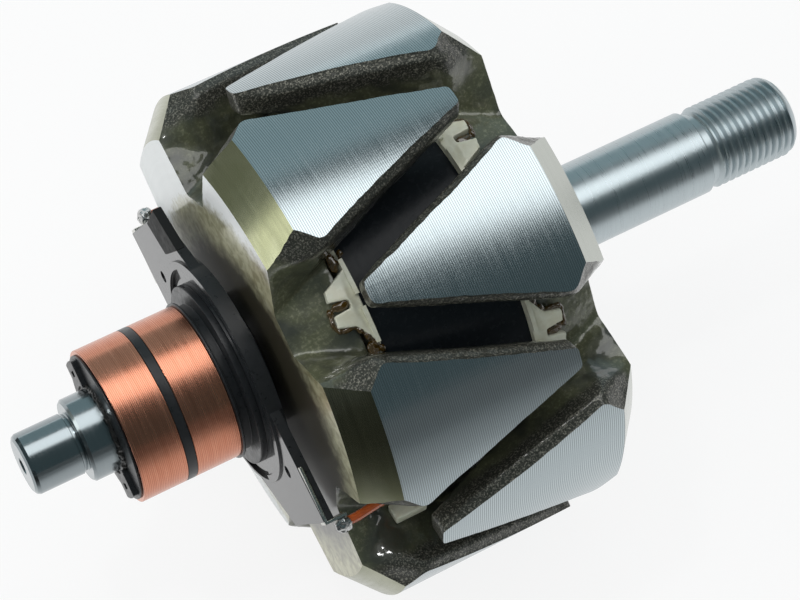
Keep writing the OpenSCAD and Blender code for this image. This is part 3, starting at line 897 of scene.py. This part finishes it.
def lead_guard():
    """A raised arm of the bobbin beside a lead, made at the top."""
    centre = (-65 * MM, -7.4 * MM, 38.4 * MM)
    size = (6.4 * MM, 2.1 * MM, 3.4 * MM)
    edge = 0.35 * MM
    deselect()
    bpy.ops.mesh.primitive_cube_add(size=1, location=centre)
    bpy.context.object.scale = size
    return modify(settle("lead_guard"), "BEVEL", width=edge, segments=3)


def cheek_envelope(end):
    """A wide washer that ends at the rim of the cheek."""
    low_r, high_r = 5 * MM, 45 * MM
    rim_mm, inside_mm = -63.5, -60
    rim = mirrored_end(rim_mm, 0, end)[0]
    inside = mirrored_end(inside_mm, 0, end)[0]
    profile = [(rim, low_r), (rim, high_r), (inside, high_r), (inside, low_r)]
    return turn("cheek_envelope", profile, hollow=True)


def make_cheek(node_name, name, varnish_name, end, first):
    """A cheek cut back to its rim, with its tabs, its guards and the varnish in each valley."""
    varnish_depth = 0.45 * MM
    piece = merged_copy(node_name, name)
    cut(piece, cheek_envelope(end), "INTERSECT")
    tab = bobbin_tab(end)
    cluster = varnish_cluster(end)
    runs = []
    for k in range(claw_count):
        angle = first + k * claw_pitch
        cut(piece, turned_to(tab, "tab_copy", angle), "UNION")
        runs.append(turned_to(cluster, "varnish_copy", angle))
    spares = [tab, cluster]
    if end == SLIP_END:
        guard = lead_guard()
        for angle in (pi / 2, -pi / 2):
            cut(piece, turned_to(guard, "guard_copy", angle), "UNION")
        spares.append(guard)
    beads = join(runs)
    beads.name = varnish_name
    beads.data.name = varnish_name
    roughen(beads, varnish_lumps, varnish_depth)
    for spare in spares:
        bpy.data.objects.remove(spare)
    hand_over(smooth(clean(piece), 35), "bobbin_nylon", bobbin_nylon, node_name)
    hand_over(smooth(beads, 70), "lead_enamel", amber_varnish)


make_cheek("slip_end_cheek", "slip_end_bobbin", "slip_end_varnish", SLIP_END, claw_pitch / 2)
make_cheek("drive_end_cheek", "drive_end_bobbin", "drive_end_varnish", DRIVE_END, 0)


# Glue pressed out round the collar
def make_glue():
    bead_r, bead_half = 8.6 * MM, 0.65 * MM
    bead_inset = 1.0 * MM
    place = (hub_face + bead_inset, 0, 0)
    voxel = 0.2 * MM
    lump_depth = 1.1 * MM
    deselect()
    bpy.ops.mesh.primitive_torus_add(
        major_segments=72, minor_segments=12, major_radius=bead_r, minor_radius=bead_half,
        location=place, rotation=(0, pi / 2, 0))
    piece = settle("collar_glue")
    remesh(piece, voxel)
    roughen(piece, varnish_lumps, lump_depth)
    soften(piece, 2)
    hand_over(smooth(piece, 60), "black_moulding", black_glue)


make_glue()

# CAD nodes that stay as they are
KEPT = {
    "field_core": core_iron, "coil_tube": bobbin_nylon, "field_winding": winding_copper,
    "coil_wrap": black_tape, "near_lead": lead_enamel, "far_lead": lead_enamel}
for node_name, made in KEPT.items():
    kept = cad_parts[node_name]
    kept.data.materials.clear()
    kept.data.materials.append(made)


# Camera at the photograph's viewing angle
def make_camera():
    right = Vector((0.86885284, -0.494997, -0.00852692))
    up = Vector((0.40875876, 0.70755162, 0.57644339))
    back = Vector((-0.27930451, -0.50432993, 0.8170926))
    lens = bpy.data.cameras.new("camera")
    lens.lens = 117.664
    lens.sensor_width = 36
    lens.sensor_fit = "HORIZONTAL"
    lens.clip_start = 0.01
    camera = bpy.data.objects.new("camera", lens)
    bpy.context.scene.collection.objects.link(camera)
    pose = Matrix((right, up, back)).transposed().to_4x4()
    pose.translation = Vector((-0.18370461, -0.25105782, 0.40324094))
    camera.matrix_world = pose
    bpy.context.scene.camera = camera


# Pale floor with an upturned rim, white to the camera, with painted light and painted shade in its
# reflections
def floor_shape():
    floor_r = 3
    rim_steps = ((1.05, 0.03), (1.04, 0.1), (1.02, 0.2), (1.01, 0.45))
    deselect()
    bpy.ops.mesh.primitive_circle_add(
        vertices=96, radius=floor_r, fill_type="NGON", location=(0, 0, cad_box[0].z))
    floor = settle("floor")
    edit(floor)
    bpy.ops.mesh.region_to_loop()
    for out, rise in rim_steps:
        bpy.ops.mesh.extrude_region_move(TRANSFORM_OT_translate={"value": (0, 0, rise)})
        bpy.ops.transform.resize(value=(out, out, 1), center_override=(0, 0, 0))
    done()
    return floor


def floor_finish():
    """White to the camera. In reflections only a painted lit patch glows white, with a faint painted glow
    far off; the rest shows painted shade, darker on a painted dark patch and by the corner. The spans are in
    metres.
    """
    pale = (0.85, 0.85, 0.85)
    shade = (0.42, 0.42, 0.42)
    black = (0.03, 0.03, 0.03)
    glow_share = 0.85
    front_x, front_y = -0.484, -0.875
    front_fade = (0.23, 0.03)
    left_fade = (-1.0, -0.5)
    corner_fade_x, corner_fade_y = (-0.12, -0.16), (0.0, -0.06)
    corner_shade = -0.9
    dark_patch_fade_x, dark_patch_fade_away = (-0.06, -0.2), (1.4, 0.9)
    far_fade = (1.4, 2.2)
    far_glow = 0.1
    made = bpy.data.materials.new("floor_white")
    made.use_nodes = True
    tree = made.node_tree
    shader = tree.nodes["Principled BSDF"]
    shader.inputs["Roughness"].default_value = 0.9
    ray = node(tree, "LightPath").outputs
    x, y, z = node(tree, "SeparateXYZ", {0: node(tree, "TexCoord").outputs["Object"]}).outputs
    front = weighed(tree, x, front_x, y, front_y)
    away = maths(tree, "SQRT", maths(tree, "MULTIPLY_ADD", x, x, maths(tree, "MULTIPLY", y, y)))
    right_part = between(tree, x, *left_fade)
    lit = maths(tree, "MULTIPLY", between(tree, front, *front_fade), right_part)
    corner = maths(tree, "MULTIPLY", between(tree, x, *corner_fade_x), between(tree, y, *corner_fade_y))
    lit = maths(tree, "MULTIPLY", lit, maths(tree, "MULTIPLY_ADD", corner, corner_shade, 1.0))
    painted_dark_patch = maths(tree, "MULTIPLY", between(tree, x, *dark_patch_fade_x), between(tree, away, *dark_patch_fade_away))
    far = maths(tree, "MULTIPLY", between(tree, away, *far_fade, 0, far_glow), right_part)
    # Painted light in reflections: the lit patch and the faint far glow; the rest of the floor shows painted
    # shade there
    mirrored = maths(tree, "MAXIMUM", ray["Is Glossy Ray"], ray["Is Transmission Ray"])
    bright = maths(tree, "MULTIPLY", mirrored, maths(tree, "MAXIMUM", lit, far))
    seen = maths(tree, "MAXIMUM", ray["Is Camera Ray"], bright)
    unlit = maths(tree, "MULTIPLY", mirrored, maths(tree, "SUBTRACT", 1.0, lit))
    colour = blend_colour(tree, unlit, pale, blend_colour(tree, painted_dark_patch, shade, black))
    tree.links.new(colour, shader.inputs["Base Color"])
    glow = node(tree, "Emission", {"Color": (1, 1, 1, 1), "Strength": 1.0})
    mixed = node(tree, "MixShader", {0: maths(tree, "MULTIPLY", seen, glow_share),
                                     1: shader.outputs[0], 2: glow.outputs[0]})
    tree.links.new(mixed.outputs[0], tree.nodes["Material Output"].inputs["Surface"])
    return made


def make_floor():
    floor = floor_shape()
    floor.data.materials.append(floor_finish())


def soft_lamp(name, place, size, radiance, colour=(1, 1, 1), aim=None, turned=0):
    """A softbox that shines by its radiance, straight down or at a point."""
    lamp = bpy.data.lights.new(name, "AREA")
    lamp.shape = "RECTANGLE"
    lamp.size, lamp.size_y = size
    lamp.energy = radiance * pi * size[0] * size[1]
    lamp.color = colour
    holder = bpy.data.objects.new(name, lamp)
    bpy.context.scene.collection.objects.link(holder)
    holder.location = place
    if aim:
        holder.rotation_euler = (Vector(aim) - Vector(place)).to_track_quat("-Z", "Y").to_euler()
    else:
        holder.rotation_euler = (0, 0, radians(turned))
    return holder


make_camera()
make_floor()
soft_lamp("overhead_softbox", (0.139, -0.003, 0.75), (1.1, 0.4), radiance=2.0, turned=-44)
soft_lamp("rear_panel", (0.22, 0.94, 0.63), (1.9, 1.06), radiance=0.31,
          colour=(0.76, 1.0, 1.06), aim=(0, 0, 0.05))
soft_lamp("side_panel", (-1.25, 0.36, 0.33), (0.4, 0.32), radiance=2.6,
          colour=(1.0, 1.0, 0.97), aim=(-0.08, 0, 0.05))
soft_lamp("corner_panel", (-1.15, 0.8, 0.3), (0.7, 0.6), radiance=0.3,
          colour=(0.96, 1.0, 0.92), aim=(-0.08, 0, 0.05))
soft_lamp("small_lamp", (-0.42, 0.05, 1.25), (0.12, 0.12), radiance=36, aim=(-0.05, 0, 0))
fill_panel = soft_lamp("fill_panel", (-0.5, -0.8, 1.3), (1.6, 1.2), radiance=1.2, aim=(-0.05, 0, 0))
end_fill = soft_lamp("end_fill", (-0.9, 0.3, 0.6), (1.2, 1.2), radiance=1.3, aim=(-0.05, 0, 0))
for unmirrored in (fill_panel, end_fill):
    unmirrored.visible_glossy = False
world = bpy.data.worlds.new("studio")
world.use_nodes = True
world.node_tree.nodes["Background"].inputs[0].default_value = (0.075, 0.105, 0.112, 1)
bpy.context.scene.world = world
bpy.context.scene.view_settings.view_transform = "Standard"
